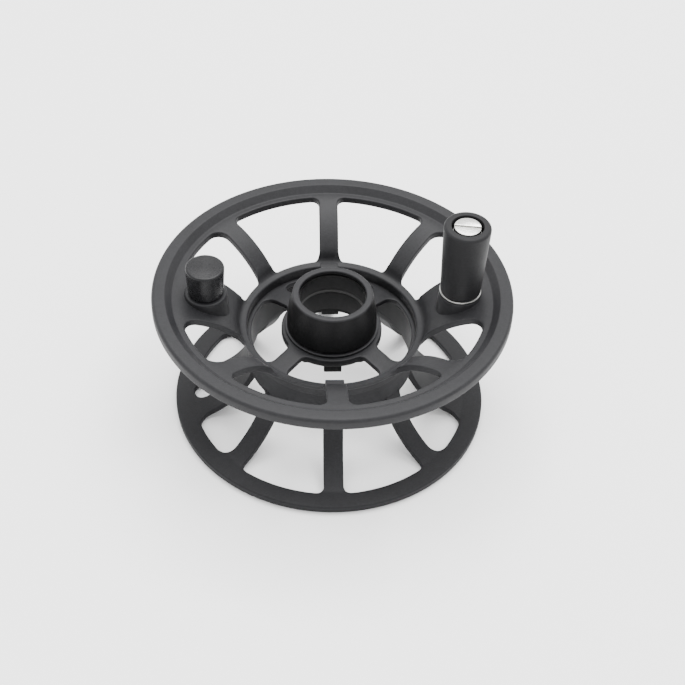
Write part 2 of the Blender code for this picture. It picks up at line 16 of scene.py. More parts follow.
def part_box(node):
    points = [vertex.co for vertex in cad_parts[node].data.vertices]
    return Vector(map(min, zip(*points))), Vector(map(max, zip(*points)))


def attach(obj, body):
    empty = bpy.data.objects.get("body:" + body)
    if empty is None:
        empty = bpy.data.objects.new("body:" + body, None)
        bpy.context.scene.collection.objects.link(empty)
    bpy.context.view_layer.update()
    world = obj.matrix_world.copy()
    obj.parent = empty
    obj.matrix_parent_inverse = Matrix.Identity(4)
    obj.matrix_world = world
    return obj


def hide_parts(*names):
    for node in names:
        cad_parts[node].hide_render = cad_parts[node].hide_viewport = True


MM = 0.001
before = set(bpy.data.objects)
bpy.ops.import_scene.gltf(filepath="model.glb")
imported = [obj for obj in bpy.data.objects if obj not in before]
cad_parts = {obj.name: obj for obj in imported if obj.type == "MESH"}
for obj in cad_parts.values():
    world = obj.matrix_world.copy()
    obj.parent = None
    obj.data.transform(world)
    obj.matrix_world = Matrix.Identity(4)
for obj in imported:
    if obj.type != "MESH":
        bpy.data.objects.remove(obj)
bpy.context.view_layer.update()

# Fineness of the meshes
LOOP_STEPS = 360                # points round a plate's inner and outer circle
TURN_STEPS = 128                # points round a small turned body
HUB_STEPS = 192
ARBOR_STEPS = 256
BOSS_RING_STEPS = 72
DRILL_STEPS = 32
HEAD_STEPS = 48
SCREW_STEPS = 96
HOLE_STEPS = 64
ROUND_STEPS = 6                 # steps of a rounded corner
EDGE_STEPS = 4                  # steps of an opening's rounded edge
SECTION_STEPS = 48              # steps of a dish's section
WAIST_STEPS = 24                # steps down the hub's waisted side
OUTLINE_PITCH = 0.45            # between the points of a window's outline
GRID_PITCH = 0.8                # between the points inside a plate
RING_SHIFT = 0.37               # turn from one ring of a plate's points to the next, in radians
SHARP_ANGLE = 42.0

# Windows and spokes
SPOKE_COUNT = 8
SPOKE_PITCH = 360.0 / SPOKE_COUNT
SPOKE_HALF_WIDTH = 2.35
BROAD_HALF_WIDTH = 3.45         # of a broad web, at the axis
BROAD_TAPER = 8.8               # how far each edge of a broad web spreads
FRONT_INNER_FILLET = 1.7
BACK_INNER_FILLET = 0.7
OUTER_FILLET = 1.8
BROAD_OUTER_FILLET = 3.0

# Front flange: a dished plate between a rolled rim and an inner band with a short sleeve.
# A dish's arc is its centre's radius and height, and the arc's own radius. Points of sections
# are (radius, height), and a section's rounded corners are (radius, height, rounding).
FRONT_PLATE = (21.5, 36.9)
FRONT_WINDOW = (22.1, 36.3)
FRONT_EDGE = 0.32
DISH_TOP = (39.3, 12.9, 21.8)
DISH_TOP_REACH = (22.9, 36.3)
DISH_UNDER = (39.3, 12.05, 20.86)
DISH_UNDER_REACH = (22.5, 37.2)
RIM_TOP = 36.0
RIM_TOP_ROUND = 0.9
RIM_FOOT = (37.8, 34.45, 0.5)
RIM_CREST = (39.35, RIM_TOP, 0.35)
RIM_SIDE_BOTTOM = 33.25
RIM_SIDE_ROUND = 0.35
RIM_UNDERCUT = (38.6, 33.15, 0.6)
SLEEVE_RADII = (20.3, 20.9)
SLEEVE_BOTTOM = 21.0
SLEEVE_ROUND = 0.15
SLEEVE_FOOT = (SLEEVE_RADII[1], 23.3)       # where the sleeve leaves the plate's underside
BAND_TOP = 25.05
BAND_INNER = (SLEEVE_RADII[0], 24.93, 0.6)
BAND_FILLET = ((20.9, 24.97), (21.5, BAND_TOP), (21.9, 25.2), (22.2, 25.5), (22.5, 26.1), (22.7, 26.6))
KEY_AZIMUTHS = (0.0, 180.0)
KEY_REACH = (19.45, 22.95)
KEY_WIDTH = 4.4
KEY_HEIGHTS = (24.0, 25.15)
KEY_EDGE = 0.18

# Bosses of the front flange, and the seats for screws' heads under them
BOSS_RADIUS = 5.0
BOSS_TOP = 34.9
BOSS_EDGE = 0.45
BOSS_WALL_SLOPE = 18.0
BOSS_BLEND = 0.7
SEAT_RADIUS = 2.9
SEAT_TOP = 33.4
SEAT_WALL_SLOPE = 60.0

# Back flange: a dished plate from the drum's foot down to a flat outer ring
BACK_PLATE = (19.4, 34.6)
BACK_WINDOW = (20.15, 33.8)     # ends at the drum, although the frame's windows reach in under it
BACK_EDGE = 0.25
BACK_OVER = (40.1, 20.9, -20.6)
BACK_OVER_REACH = (20.45, 33.1)
BACK_UNDER = (40.1, 20.9, -22.0)
BACK_UNDER_REACH = (20.45, 33.0)
BACK_THICKNESS = 1.9            # of the outer ring
BACK_RING_EDGE = (38.05, BACK_THICKNESS)
BACK_RIM_ROUND = 0.4
BACK_HEAD = ((19.3, 14.6), (20.2, 14.6))        # the plate's top under the drum
BACK_HEAD_RINGS = (19.75, 20.05)
BACK_UNDER_ENDS = ((19.4, 13.2), (33.4, 0.0))
BACK_LIFT_HEIGHT = 13.6         # the underside between two bars, beside the drum
BACK_LIFT_END = 21.2
BACK_LEAST_THICKNESS = 0.9
BAR_ROOT_RADIUS = 20.0
FAR = 1000.0                    # more than any distance on the spool
DRIVER_HOLE_RADIUS = 2.8
DRIVER_HOLE_REACH = 31.0

# Spider
SPIDER_PLATE = (10.3, 20.0)
SPIDER_WINDOW = (12.1, 19.35)
SPIDER_ARM_COUNT = 4
SPIDER_ARM_HALF_WIDTH = 2.4
SPIDER_FILLET = 2.0
SPIDER_EDGE = 0.3
SPIDER_TOP = ((10.0, 23.7), (12.5, 23.7), (12.7, 23.68), (19.0, 22.42), (19.2, 22.4), (20.5, 22.4))
SPIDER_UNDER = ((10.0, 21.7), (12.5, 21.7), (12.9, 22.3), (19.0, 21.0), (20.5, 21.0))
SPIDER_RING = 19.7              # an extra ring of points where the arms meet the outer ring

# Arbor
ARBOR_INNER = 19.4
SEAM_COVER = 0.28               # the arbor and the spider reach over the CAD's clearance
TIE_HOLE_RADIUS = 0.6
TIE_HOLE_AZIMUTH = 62.0
TIE_HOLE_HEIGHT = 16.0
DRILL_PAST = 2.0                # how far the drill reaches past the arbor's wall

# Hub
HUB_TOP = 34.3
HUB_TOP_ROUND = 0.4
HUB_FOOT = 24.75
HUB_FOOT_ROUND = 0.15
HUB_FOOT_RADIUS = 10.75
HUB_WAIST = 1.25                # how much narrower the hub is at its top
HUB_WAIST_POWER = 2.2
HUB_TUBE_RADIUS = 10.0
HUB_BOTTOM = 20.2
HUB_INNER = 9.0
HUB_LIP = 7.95
HUB_LIP_ROUND = 0.35
HUB_LIP_BOTTOM = 33.3
LUG_COUNT = 4
LUG_REACH = (9.1, 10.9)
LUG_WIDTH = 4.2
LUG_HEIGHTS = (18.9, 21.2)
LUG_EDGE = 0.15
HUB_RING_INNER = 10.3
HUB_RING_EDGE = 0.12
BUSH_INNER = 8.0
BUSH_EDGE = 0.1

# Handle and counterweight
KNOB_FOOT_RADIUS = 4.8
KNOB_TOP_ROUND = 0.8
KNOB_MOUTH_ROUND = 0.12
KNOB_SOCKET_RADIUS = 3.75
SOCKET_ROUND = 0.1
FOOT_ROUND = 0.25
KNOB_BORE_RADIUS = 3.0
KNOB_BORE_HEIGHTS = (41.3, 47.6)
WEIGHT_FOOT_RADIUS = 4.2
WEIGHT_TOP_ROUND = 0.5
WASHER_INNER = 2.45
WASHER_EDGE = 0.12
SHANK_RADIUS = 1.2
SCREW_ROUND = 0.2
KNOB_HEAD_BOTTOM = 53.25
HEAD_EDGE = 0.22
HEAD_OVERLAP = 0.01
SLOT_AZIMUTH = 98.0
SLOT_WIDTH = 0.5
SLOT_DEPTH = 0.8
SLOT_EDGE_SHARE = 0.4           # rounding of the slot's edge, as a share of the head's
FLANGE_HEAD_TOP = 33.1
FLANGE_HEAD_ROUND = 0.4
FLANGE_HEAD_EDGE = 0.1

# Finishes: sizes of the noises, and each pair of tones from dark to light
GRAIN_SIZE = 0.34
MOTTLE_SIZE = 1.1
CLOUD_SIZE = 9.0
TURN_PITCH = 0.25               # between the rings that turning leaves
RELIEF_STRENGTH = 0.8
RELIEF_DEPTH = 0.035
NOISE_MIDDLE = (0.3, 0.7)       # the range that most of a noise's values fall in
CLOUD_SHARE = 0.3               # shares of the drift, the grain and the mottling in the colour
GRAIN_SHARE = 0.5
MOTTLE_SHARE = 0.2
GLOSS_GRAIN = 0.03              # how far the grain moves the roughness, up and down
STEEL = ((0.62, 0.62, 0.6), (0.72, 0.72, 0.7))
BLACK = ((0.006, 0.006, 0.0067), (0.0165, 0.0165, 0.0183))

# Studio: metres, degrees and watts, but millimetres for the lens and the sensor
FLOOR_SIZE = 6.0
FLOOR_HEIGHT = -0.0002
FLOOR_TONE = 0.93
WORLD_STRENGTH = 2.0
SOFTBOX_PLACE = (0.1, 0.3, 1.25)
SOFTBOX_AIM = (0.0, 0.0, 0.03)
SOFTBOX_SIZE = (1.2, 1.0)
SOFTBOX_POWER = 40.0
CAMERA_ELEVATION = 44.13
CAMERA_HEADING = -4.0
CAMERA_ROLL = 2.55
CAMERA_DISTANCE = 0.3501
CAMERA_SHIFT = (0.00279, 0.01313)
CAMERA_LENS = 72.74
CAMERA_SENSOR = 36.0


# ---- places taken from the frame ----

def upright(node_name):
    """Centre, radius, bottom and top of an upright round node."""
    low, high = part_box(node_name)
    centre = ((low.x + high.x) / 2.0 / MM, (low.y + high.y) / 2.0 / MM)
    return centre, (high.x - low.x) / 2.0 / MM, low.z / MM, high.z / MM


HANDLE = upright("knob")[0]
WEIGHT = upright("counterweight")[0]


# ---- outlines and sections ----

def place(azimuth, along, across=0.0):
    """Plan position at a distance along an azimuth and a distance clockwise across it."""
    angle = math.radians(azimuth)
    x = along * math.sin(angle) + across * math.cos(angle)
    y = along * math.cos(angle) - across * math.sin(angle)
    return x, y


def arc(centre, radius, start, end, steps):
    """Points on an arc between two angles in degrees, anticlockwise from the first axis."""
    points = []
    for i in range(steps + 1):
        angle = math.radians(start + (end - start) * i / steps)
        points.append((centre[0] + radius * math.cos(angle), centre[1] + radius * math.sin(angle)))
    return points


def arc_between(centre, start, end, pitch=None):
    """Points along the shorter arc about a centre, from one point to another."""
    radius = math.dist(centre, start)
    first = math.degrees(math.atan2(start[1] - centre[1], start[0] - centre[0]))
    last = math.degrees(math.atan2(end[1] - centre[1], end[0] - centre[0]))
    turn = (last - first + 180.0) % 360.0 - 180.0
    steps = ROUND_STEPS
    if pitch is not None:
        steps = max(ROUND_STEPS, math.ceil(abs(math.radians(turn)) * radius / pitch))
    return arc(centre, radius, first, first + turn, steps)


def corner(azimuth, side, half_width, circle, fillet, is_outer):
    """A window's rounded corner, from the bar's straight edge to the bounding circle."""
    reach = circle - fillet if is_outer else circle + fillet
    across = half_width + fillet
    along = math.sqrt(reach * reach - across * across)
    centre = place(azimuth, along, side * across)
    on_bar = place(azimuth, along, side * half_width)
    scale = circle / reach
    on_circle = (centre[0] * scale, centre[1] * scale)
    return arc_between(centre, on_bar, on_circle, OUTLINE_PITCH / 2.0)


def straight(start, end):
    """Points between two points, both ends left out."""
    steps = max(1, round(math.dist(start, end) / OUTLINE_PITCH))
    shares = [i / steps for i in range(1, steps)]
    return [(start[0] + (end[0] - start[0]) * t, start[1] + (end[1] - start[1]) * t) for t in shares]


def window_outline(bars, inner, outer):
    """Outline of the opening between two bars, each (azimuth, half width, inner and outer fillet)."""
    (first, first_half, *first_fillets), (last, last_half, *last_fillets) = bars
    first_inner = corner(first, 1, first_half, inner, first_fillets[0], False)
    first_outer = corner(first, 1, first_half, outer, first_fillets[1], True)
    last_inner = corner(last, -1, last_half, inner, last_fillets[0], False)
    last_outer = corner(last, -1, last_half, outer, last_fillets[1], True)
    outer_side = arc_between((0.0, 0.0), first_outer[-1], last_outer[-1], OUTLINE_PITCH)
    inner_side = arc_between((0.0, 0.0), last_inner[-1], first_inner[-1], OUTLINE_PITCH)
    outline = first_outer + outer_side[1:-1] + last_outer[::-1]
    outline += straight(last_outer[0], last_inner[0])
    outline += last_inner + inner_side[1:-1] + first_inner[::-1]
    outline += straight(first_inner[0], first_outer[0])
    return outline


def is_broad(azimuth):
    """Whether the bar at an azimuth is one of the two broad webs."""
    return azimuth % 180.0 == 90.0


def flange_windows(radii, inner_fillet):
    """Outlines of a flange's eight windows. A broad web stands at 90 and at 270."""
    outlines = []
    for index in range(SPOKE_COUNT):
        azimuths = (index * SPOKE_PITCH, (index + 1) * SPOKE_PITCH)
        beside_broad = any(is_broad(azimuth) for azimuth in azimuths)
        outer_fillet = BROAD_OUTER_FILLET if beside_broad else OUTER_FILLET
        bars = []
        for azimuth, taper in zip(azimuths, (BROAD_TAPER, -BROAD_TAPER)):
            if is_broad(azimuth):
                bars.append((azimuth + taper, BROAD_HALF_WIDTH, inner_fillet, outer_fillet))
            else:
                bars.append((azimuth, SPOKE_HALF_WIDTH, inner_fillet, outer_fillet))
        outlines.append(window_outline(bars, *radii))
    return outlines


def section_arc(circle, start, end):
    """Points of a dish's section between two radii. The arc is the upper side of its circle, or
    the lower side if the circle's radius is negative."""
    centre, height, curve = circle
    first = math.asin((centre - start) / curve)
    last = math.asin((centre - end) / curve)
    slopes = [first + (last - first) * i / SECTION_STEPS for i in range(SECTION_STEPS + 1)]
    return [(centre - curve * math.sin(a), height + curve * math.cos(a)) for a in slopes]


def rounded(corners):
    """A section whose corners, each (radius, height, rounding), are rounded off."""
    points = []
    for i, (x, y, size) in enumerate(corners):
        if size == 0.0:
            points.append((x, y))
            continue
        here = Vector((x, y))
        back = (Vector(corners[i - 1][:2]) - here).normalized()
        ahead = (Vector(corners[(i + 1) % len(corners)][:2]) - here).normalized()
        half = back.angle(ahead) / 2.0
        centre = here + (back + ahead).normalized() * size / math.sin(half)
        reach = size / math.tan(half)
        points += arc_between(tuple(centre), tuple(here + back * reach), tuple(here + ahead * reach))
    return points


def profile_height(points):
    """A height over the plan that depends only on the distance from the axis."""
    radii, heights = zip(*sorted(points))

    def height(x, y):
        return np.interp(np.hypot(x, y), radii, heights)
    return height


def smooth_max(a, b, size):
    """The greater of two heights, blended where they are within a distance of each other."""
    share = np.clip(0.5 + 0.5 * (a - b) / size, 0.0, 1.0)
    return b * (1.0 - share) + a * share + size * share * (1.0 - share)


# ---- solids, each a list of points and a list of faces ----

def turned(profile, centre=(0.0, 0.0), steps=TURN_STEPS):
    """A body of revolution. Its section closes unless it starts on the axis."""
    points = []
    rows = []
    for radius, height in profile:
        if radius == 0.0:
            rows.append([len(points)] * steps)
            points.append((centre[0], centre[1], height))
            continue
        rows.append(list(range(len(points), len(points) + steps)))
        for i in range(steps):
            angle = math.tau * i / steps
            x = centre[0] + radius * math.cos(angle)
            y = centre[1] + radius * math.sin(angle)
            points.append((x, y, height))
    if profile[0][0] > 0.0:
        rows.append(rows[0])
    return points, strips(rows)


def strips(rows):
    """Faces between one closed row of points and the next."""
    faces = []
    for upper, lower in zip(rows, rows[1:]):
        for i in range(len(upper)):
            j = (i + 1) % len(upper)
            face = list(dict.fromkeys((upper[i], upper[j], lower[j], lower[i])))
            if len(face) > 2:
                faces.append(face)
    return faces


def block(azimuth, reach, width, heights, edge):
    """A box with rounded edges that lies along an azimuth, from one distance to another."""
    shape = bmesh.new()
    bmesh.ops.create_cube(shape, size=1.0)
    size = (width, reach[1] - reach[0], heights[1] - heights[0])
    bmesh.ops.scale(shape, verts=shape.verts, vec=size)
    bmesh.ops.bevel(shape, geom=shape.edges[:], offset=edge, segments=3, profile=0.5, affect="EDGES")
    middle = place(azimuth, (reach[0] + reach[1]) / 2.0)
    turn = Matrix.Rotation(-math.radians(azimuth), 4, "Z")
    shift = Matrix.Translation((middle[0], middle[1], (heights[0] + heights[1]) / 2.0))
    bmesh.ops.transform(shape, matrix=shift @ turn, verts=shape.verts)
    shape.verts.index_update()
    points = [tuple(v.co) for v in shape.verts]
    faces = [[v.index for v in face.verts] for face in shape.faces]
    shape.free()
    return points, faces


def ring(radius, count, centre=(0.0, 0.0), start=0.0):
    """Points spaced evenly round a circle, from an angle in radians."""
    angles = start + np.arange(count) * math.tau / count
    return np.stack((centre[0] + radius * np.cos(angles), centre[1] + radius * np.sin(angles)), axis=1)


def outward(outline):
    """Unit directions that point out of an opening, at each point of its outline."""
    following = np.roll(outline, -1, axis=0)
    ahead = following - np.roll(outline, 1, axis=0)
    ahead /= np.linalg.norm(ahead, axis=1)[:, None]
    area = np.sum(outline[:, 0] * following[:, 1] - outline[:, 1] * following[:, 0])
    return np.stack((ahead[:, 1], -ahead[:, 0]), axis=1) * np.sign(area)


def inside(points, outline):
    """Which of the points lie in an outline."""
    x, y = points[:, 0:1], points[:, 1:2]
    ends = np.roll(outline, -1, axis=0)
    crosses = (outline[:, 1] > y) != (ends[:, 1] > y)
    rise = np.where(ends[:, 1] == outline[:, 1], 1.0, ends[:, 1] - outline[:, 1])
    at = (ends[:, 0] - outline[:, 0]) * (y - outline[:, 1]) / rise + outline[:, 0]
    return np.sum(crosses & (x < at), axis=1) % 2 == 1


def free_points(reach, outlines, bosses, extra_radii):
    """Points spread over a plate, clear of its openings, and in rings of their own round its bosses."""
    radii = list(np.arange(reach[0] + GRID_PITCH, reach[1] - GRID_PITCH / 2.0, GRID_PITCH))
    radii = [r for r in radii if all(abs(r - other) > GRID_PITCH / 2.0 for other in extra_radii)]
    radii += list(extra_radii)
    rings = []
    for index, radius in enumerate(radii):
        count = round(math.tau * radius / GRID_PITCH)
        rings.append(ring(radius, count, start=index * RING_SHIFT))
    points = np.concatenate(rings)
    for outline in outlines:
        points = points[~inside(points, outline)]
        gaps = np.linalg.norm(points[:, None, :] - outline[None, :, :], axis=2).min(axis=1)
        points = points[gaps > GRID_PITCH / 2.0]
    for centre in bosses:
        away = np.hypot(points[:, 0] - centre[0], points[:, 1] - centre[1])
        points = points[away > boss_rings()[-1] + GRID_PITCH / 2.0]
    boss_points = [ring(radius, BOSS_RING_STEPS, centre) for centre in bosses for radius in boss_rings()]
    return np.concatenate([points] + boss_points)


def triangulated(loops, scattered):
    """A flat mesh through closed loops and scattered points: its points, its triangles, and the
    numbers of each loop's points."""
    starts = np.cumsum([0] + [len(loop) for loop in loops])
    borders = []
    for start, loop in zip(starts, loops):
        borders += [(int(start + i), int(start + (i + 1) % len(loop))) for i in range(len(loop))]
    plan = [Vector(point) for point in np.concatenate(loops + [scattered])]
    flat, _, triangles, sources, _, _ = delaunay_2d_cdt(plan, borders, [], 0, 1e-6)
    found = {source: i for i, group in enumerate(sources) for source in group}
    numbers = [[found[start + i] for i in range(len(loop))] for start, loop in zip(starts, loops)]
    return np.array([tuple(v) for v in flat]), np.array(triangles), numbers


def add_row(points, plan, heights):
    """Add points at heights over a plan, and give their numbers."""
    start = len(points)
    points += [(x, y, z) for (x, y), z in zip(plan, heights)]
    return list(range(start, len(points)))


def plate(top, under, reach, paths, outlines, edge, bosses=(), extra_radii=()):
    """A plate between two surfaces, with rounded openings. Its inner and outer paths are sections
    that lead from the top to the underside, ends left out."""
    outlines = [np.array(outline) for outline in outlines]
    normals = [outward(outline) for outline in outlines]
    holes = [outline + normal * edge for outline, normal in zip(outlines, normals)]
    circles = [ring(radius, LOOP_STEPS) for radius in reach]
    scattered = free_points(reach, holes, bosses, extra_radii)
    flat, triangles, numbers = triangulated(circles + holes, scattered)
    middles = flat[triangles].mean(axis=1)
    kept = np.hypot(middles[:, 0], middles[:, 1]) > reach[0] * math.cos(math.pi / LOOP_STEPS)
    for hole in holes:
        kept &= ~inside(middles, hole)
    points = []
    add_row(points, flat, top(flat[:, 0], flat[:, 1]))
    add_row(points, flat, under(flat[:, 0], flat[:, 1]))
    count = len(flat)
    faces = triangles[kept].tolist()
    faces += (triangles[kept][:, ::-1] + count).tolist()
    for path, first in zip(paths, numbers):
        rows = [first]
        for radius, height in path:
            rows.append(add_row(points, ring(radius, LOOP_STEPS), [height] * LOOP_STEPS))
        rows.append([count + index for index in first])
        faces += strips(rows)
    quarter = [math.pi / 2.0 * (k + 1) / EDGE_STEPS for k in range(EDGE_STEPS)]
    for outline, normal, first in zip(outlines, normals, numbers[2:]):
        rows = [first]
        for surface, angles, rise in ((top, quarter, -edge), (under, quarter[::-1], edge)):
            for angle in angles:
                plan = outline + normal * edge * (1.0 - math.sin(angle))
                heights = surface(plan[:, 0], plan[:, 1]) + rise * (1.0 - math.cos(angle))
                rows.append(add_row(points, plan, heights))
        rows.append([count + index for index in first])
        faces += strips(rows)
    return points, faces


def smooth(mesh):
    """Shade a mesh smooth, but for its sharp edges."""
    mesh.shade_smooth()
    mesh.set_sharp_from_angle(angle=math.radians(SHARP_ANGLE))


def build(node_name, solids, finish, body="spool"):
    """One visible piece from its solids. It stands for a CAD node and moves with a body."""
    name = node_name + "_shape"
    points = []
    faces = []
    for solid_points, solid_faces in solids:
        start = len(points)
        points += [(x * MM, y * MM, z * MM) for x, y, z in solid_points]
        faces += [[start + index for index in face] for face in solid_faces]
    mesh = bpy.data.meshes.new(name)
    mesh.from_pydata(points, [], faces)
    shape = bmesh.new()
    shape.from_mesh(mesh)
    bmesh.ops.recalc_face_normals(shape, faces=shape.faces)
    shape.to_mesh(mesh)
    shape.free()
    smooth(mesh)
    mesh.materials.append(finish)
    piece = bpy.data.objects.new(name, mesh)
    bpy.context.scene.collection.objects.link(piece)
    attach(piece, body)
    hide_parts(node_name)
    return piece


# ---- finishes ----

def node(tree, kind, **settings):
    made = tree.nodes.new(kind)
    for key, value in settings.items():
        setattr(made, key, value)
    return made


def grain(tree, coordinates, size, detail):
    """Noise whose features are about one size, in millimetres."""
    noise = node(tree, "ShaderNodeTexNoise")
    noise.inputs["Scale"].default_value = 1.0 / (size * MM)
    noise.inputs["Detail"].default_value = detail
    tree.links.new(coordinates, noise.inputs["Vector"])
    return noise.outputs["Fac"]


def spread(tree, value, low, high):
    """A noise's middle range, carried to another range."""
    made = node(tree, "ShaderNodeMapRange")
    made.inputs["From Min"].default_value = NOISE_MIDDLE[0]
    made.inputs["From Max"].default_value = NOISE_MIDDLE[1]
    made.inputs["To Min"].default_value = low
    made.inputs["To Max"].default_value = high
    tree.links.new(value, made.inputs["Value"])
    return made.outputs["Result"]


def combined(tree, operation, first, second):
    """Two values put together by one operation."""
    made = node(tree, "ShaderNodeMath", operation=operation)
    tree.links.new(first, made.inputs[0])
    tree.links.new(second, made.inputs[1])
    return made.outputs["Value"]


def turning_lines(tree, coordinates, axis):
    """Noise that changes only away from an upright axis and along it."""
    offset = node(tree, "ShaderNodeVectorMath", operation="SUBTRACT")
    offset.inputs[1].default_value = (axis[0] * MM, axis[1] * MM, 0.0)
    tree.links.new(coordinates, offset.inputs[0])
    parts = node(tree, "ShaderNodeSeparateXYZ")
    tree.links.new(offset.outputs["Vector"], parts.inputs["Vector"])
    squares = [combined(tree, "MULTIPLY", parts.outputs[way], parts.outputs[way]) for way in ("X", "Y")]
    distance = node(tree, "ShaderNodeMath", operation="SQRT")
    tree.links.new(combined(tree, "ADD", *squares), distance.inputs[0])
    along = combined(tree, "ADD", distance.outputs["Value"], parts.outputs["Z"])
    lines = node(tree, "ShaderNodeTexNoise", noise_dimensions="1D")
    lines.inputs["Scale"].default_value = 1.0 / (TURN_PITCH * MM)
    lines.inputs["Detail"].default_value = 2.0
    tree.links.new(along, lines.inputs["W"])
    return lines.outputs["Fac"]


def make_finish(name, tones, roughness, metallic=0.0, specular=0.5, turned_about=None, turn_share=0.5):
    """A fine-grained finish: two tones that drift and mottle, uneven gloss, and a real-size grain.
    A turned piece also has faint rings about its own axis."""
    material = bpy.data.materials.new(name)
    material.use_nodes = True
    tree = material.node_tree
    shader = tree.nodes["Principled BSDF"]
    shader.inputs["Metallic"].default_value = metallic
    shader.inputs["Specular IOR Level"].default_value = specular
    coordinates = node(tree, "ShaderNodeTexCoord").outputs["Object"]
    fine = grain(tree, coordinates, GRAIN_SIZE, 3.0)
    cloudy = grain(tree, coordinates, CLOUD_SIZE, 3.0)
    mottled = grain(tree, coordinates, MOTTLE_SIZE, 2.0)
    shade = combined(tree, "ADD", spread(tree, cloudy, 0.0, CLOUD_SHARE),
                     spread(tree, fine, 0.0, GRAIN_SHARE))
    shade = combined(tree, "ADD", shade, spread(tree, mottled, 0.0, MOTTLE_SHARE))
    colours = node(tree, "ShaderNodeMix", data_type="RGBA")
    colours.inputs["A"].default_value = (*tones[0], 1.0)
    colours.inputs["B"].default_value = (*tones[1], 1.0)
    tree.links.new(shade, colours.inputs["Factor"])
    tree.links.new(colours.outputs["Result"], shader.inputs["Base Color"])
    gloss = combined(tree, "ADD", spread(tree, cloudy, *roughness),
                     spread(tree, fine, -GLOSS_GRAIN, GLOSS_GRAIN))
    tree.links.new(gloss, shader.inputs["Roughness"])
    height = fine
    if turned_about is not None:
        lines = turning_lines(tree, coordinates, turned_about)
        height = combined(tree, "ADD", fine, spread(tree, lines, 0.0, turn_share))
    relief = node(tree, "ShaderNodeBump")
    relief.inputs["Strength"].default_value = RELIEF_STRENGTH
    relief.inputs["Distance"].default_value = RELIEF_DEPTH * MM
    tree.links.new(height, relief.inputs["Height"])
    tree.links.new(relief.outputs["Normal"], shader.inputs["Normal"])
    return material


# ---- the spool's body ----

def boss_height(x, y, centre):
    """A round boss with a rounded edge and a steep side that runs down without end."""
    away = np.hypot(x - centre[0], y - centre[1])
    over = np.clip(away - (BOSS_RADIUS - BOSS_EDGE), 0.0, BOSS_EDGE)
    height = BOSS_TOP - BOSS_EDGE + np.sqrt(BOSS_EDGE ** 2 - over ** 2)
    return height - BOSS_WALL_SLOPE * np.clip(away - BOSS_RADIUS, 0.0, None)


def seat_height(x, y, centre):
    """A round recess for a screw's head, far below the plate outside its edge."""
    away = np.hypot(x - centre[0], y - centre[1])
    return SEAT_TOP - SEAT_WALL_SLOPE * np.clip(away - SEAT_RADIUS, 0.0, None)


def boss_rings():
    """Radii of the mesh's rings about a boss, close together at the seat's edge and at its own."""
    radii = [SEAT_RADIUS * share for share in (0.2, 0.4, 0.6, 0.8, 0.95)]
    radii += [SEAT_RADIUS + step for step in (0.0, 0.03, 0.08, 0.2, 0.6, 1.1)]
    flat = BOSS_RADIUS - BOSS_EDGE
    radii += [flat + BOSS_EDGE * math.sin(math.pi / 2.0 * i / ROUND_STEPS) for i in range(ROUND_STEPS + 1)]
    radii += [BOSS_RADIUS + 0.03 * i for i in range(1, 11)]
    radii += [BOSS_RADIUS + 0.3 + 0.06 * 2.0 ** i for i in range(5)]
    return radii


def make_front_flange(finish):
    radius = upright("front_flange")[1]
    inner, outer = FRONT_PLATE
    dish = profile_height(section_arc(DISH_TOP, *DISH_TOP_REACH) + [RIM_FOOT[:2], *BAND_FILLET])
    dish_under = profile_height(section_arc(DISH_UNDER, *DISH_UNDER_REACH) + [SLEEVE_FOOT])

    def top(x, y):
        height = dish(x, y)
        for centre in (HANDLE, WEIGHT):
            height = smooth_max(height, boss_height(x, y, centre), BOSS_BLEND)
        return height

    def under(x, y):
        height = dish_under(x, y)
        for centre in (HANDLE, WEIGHT):
            height = np.maximum(height, seat_height(x, y, centre))
        return height

    rim = rounded([(outer, float(dish(outer, 0.0)), 0.0), RIM_FOOT, RIM_CREST,
                   (radius, RIM_TOP, RIM_TOP_ROUND), (radius, RIM_SIDE_BOTTOM, RIM_SIDE_ROUND),
                   RIM_UNDERCUT, (outer, float(dish_under(outer, 0.0)), 0.0)])[1:-1]
    band = rounded([(inner, BAND_TOP, 0.0), BAND_INNER,
                    (SLEEVE_RADII[0], SLEEVE_BOTTOM, SLEEVE_ROUND),
                    (SLEEVE_RADII[1], SLEEVE_BOTTOM, SLEEVE_ROUND), (*SLEEVE_FOOT, 0.0),
                    (inner, float(dish_under(inner, 0.0)), 0.0)])[1:-1]
    windows = flange_windows(FRONT_WINDOW, FRONT_INNER_FILLET)
    extra_radii = [ring_radius for ring_radius, _ in BAND_FILLET[2:]] + [DISH_TOP_REACH[0]]
    solids = [plate(top, under, FRONT_PLATE, (band, rim), windows, FRONT_EDGE, (HANDLE, WEIGHT),
                    extra_radii)]
    for azimuth in KEY_AZIMUTHS:
        solids.append(block(azimuth, KEY_REACH, KEY_WIDTH, KEY_HEIGHTS, KEY_EDGE))
    build("front_flange", solids, finish)


def gap_to_bar(x, y):
    """Distance over the plan from the edge of the nearest spoke or web, negative on the bar."""
    azimuth = np.degrees(np.arctan2(x, y))
    nearest = np.full(np.shape(x), FAR)
    for index in range(SPOKE_COUNT):
        bar = index * SPOKE_PITCH
        half = SPOKE_HALF_WIDTH
        if is_broad(bar):
            half = BROAD_HALF_WIDTH + BAR_ROOT_RADIUS * math.sin(math.radians(BROAD_TAPER))
        turn = np.radians((azimuth - bar + 180.0) % 360.0 - 180.0)
        gap = np.abs(np.hypot(x, y) * np.sin(turn)) - half
        nearest = np.minimum(nearest, np.where(np.abs(turn) > math.pi / 2.0, FAR, gap))
    return nearest


